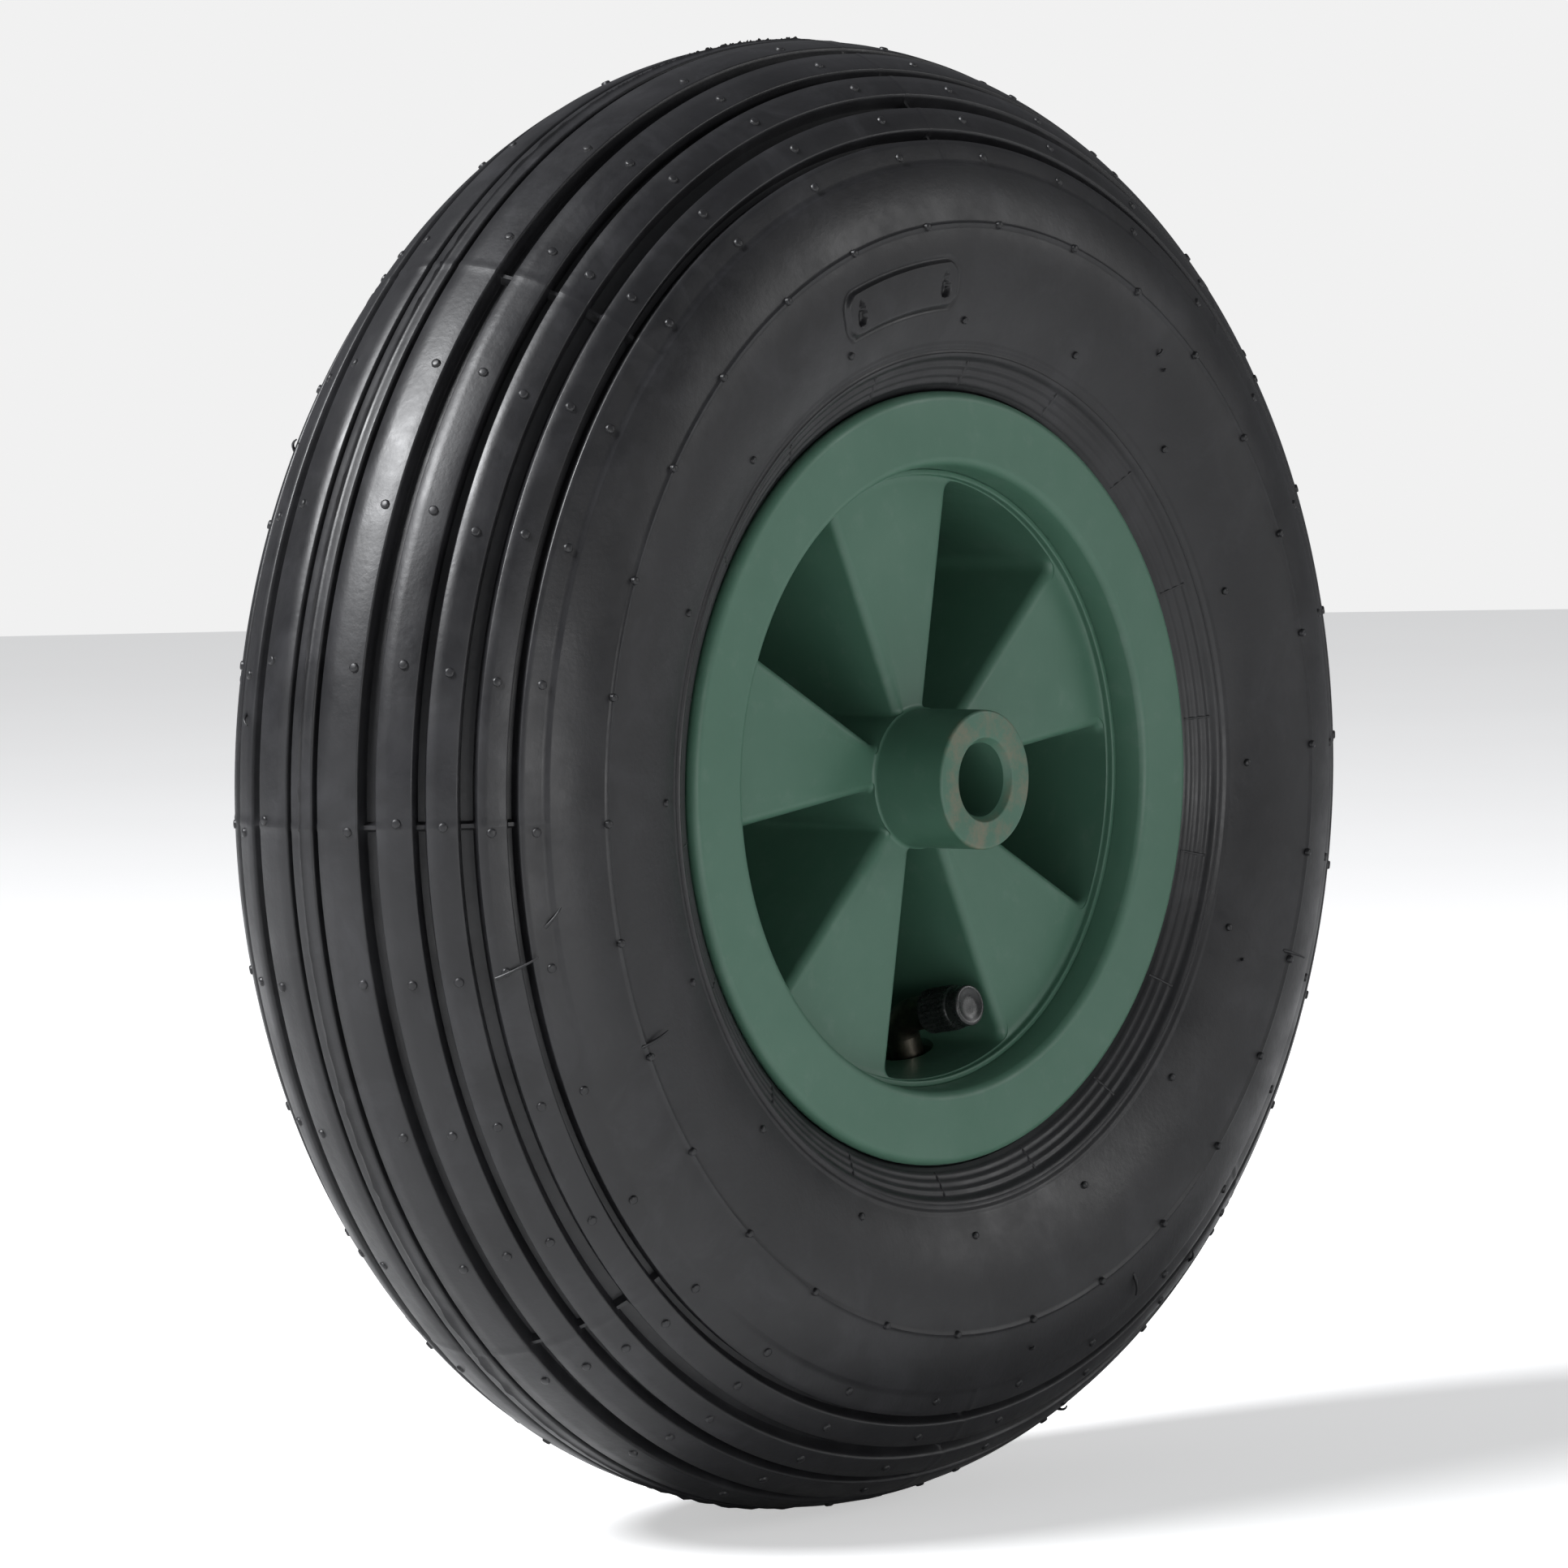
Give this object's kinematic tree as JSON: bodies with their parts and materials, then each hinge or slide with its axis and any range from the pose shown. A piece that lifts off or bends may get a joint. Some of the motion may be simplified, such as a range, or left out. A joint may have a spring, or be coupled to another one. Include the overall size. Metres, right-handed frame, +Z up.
{
  "type": "wheelbarrow wheel",
  "caption": "Pneumatic ribbed-tyre wheel with a one-piece bladed plastic rim, a plain axle bore, an inner tube and a bent valve with a screw cap.",
  "frame": {"origin": "on the axle line, midway between the two hub ends and between the two sides of the tyre", "axes": "the wheel turns about Y; its front face, where the valve opens, looks along -Y; +Z is up, with the valve near the bottom"},
  "size_m": [0.33, 0.1, 0.33],
  "materials": {
    "rim_plastic": "satin",
    "tyre_rubber": "matte",
    "tube_rubber": "matte",
    "seal_rubber": "matte",
    "seal_plastic": "matte",
    "bead_steel": "satin",
    "valve_metal": "dull, tarnished",
    "core_brass": "satin",
    "spring_steel": "satin",
    "cap_plastic": "gloss"
  },
  "bodies": {
    "wheel": {"rim": "rim_plastic", "tyre": "tyre_rubber", "bead_wire_front": "bead_steel", "bead_wire_rear": "bead_steel", "inner_tube": "tube_rubber", "valve_patch": "seal_rubber", "valve_stem": "valve_metal", "core_plug": "core_brass", "core_barrel": "core_brass", "core_seal": "seal_plastic", "core_spring": "spring_steel"},
    "cap_seal": {"cap_washer": "seal_rubber"},
    "cap": {"valve_cap": "cap_plastic"},
    "core": {"core_pin": "core_brass", "core_gasket": "seal_rubber", "core_cup": "core_brass"}
  },
  "joints": [
    {"name": "cap_lift", "type": "slide", "parent": "wheel", "child": "cap_seal", "axis": [-0.0521, -0.986, 0.1584], "range_m": [0, 0.00476]},
    {"name": "cap_turn", "type": "hinge", "parent": "cap_seal", "child": "cap", "pos_m": [0.01725, -0.02832, -0.05247], "axis": [-0.0521, -0.986, 0.1584], "range_deg": [0, 2160]},
    {"name": "core_press", "type": "slide", "parent": "wheel", "child": "core", "axis": [0.0521, 0.986, -0.1584], "range_m": [0, 0.001], "stiffness_N_per_m": 300, "springref_m": -0.002, "deforming": ["core_spring"]}
  ],
  "couplings": [
    {"joint": "cap_turn", "follows": "cap_lift", "rad_per_m": 7913.3}
  ]
}
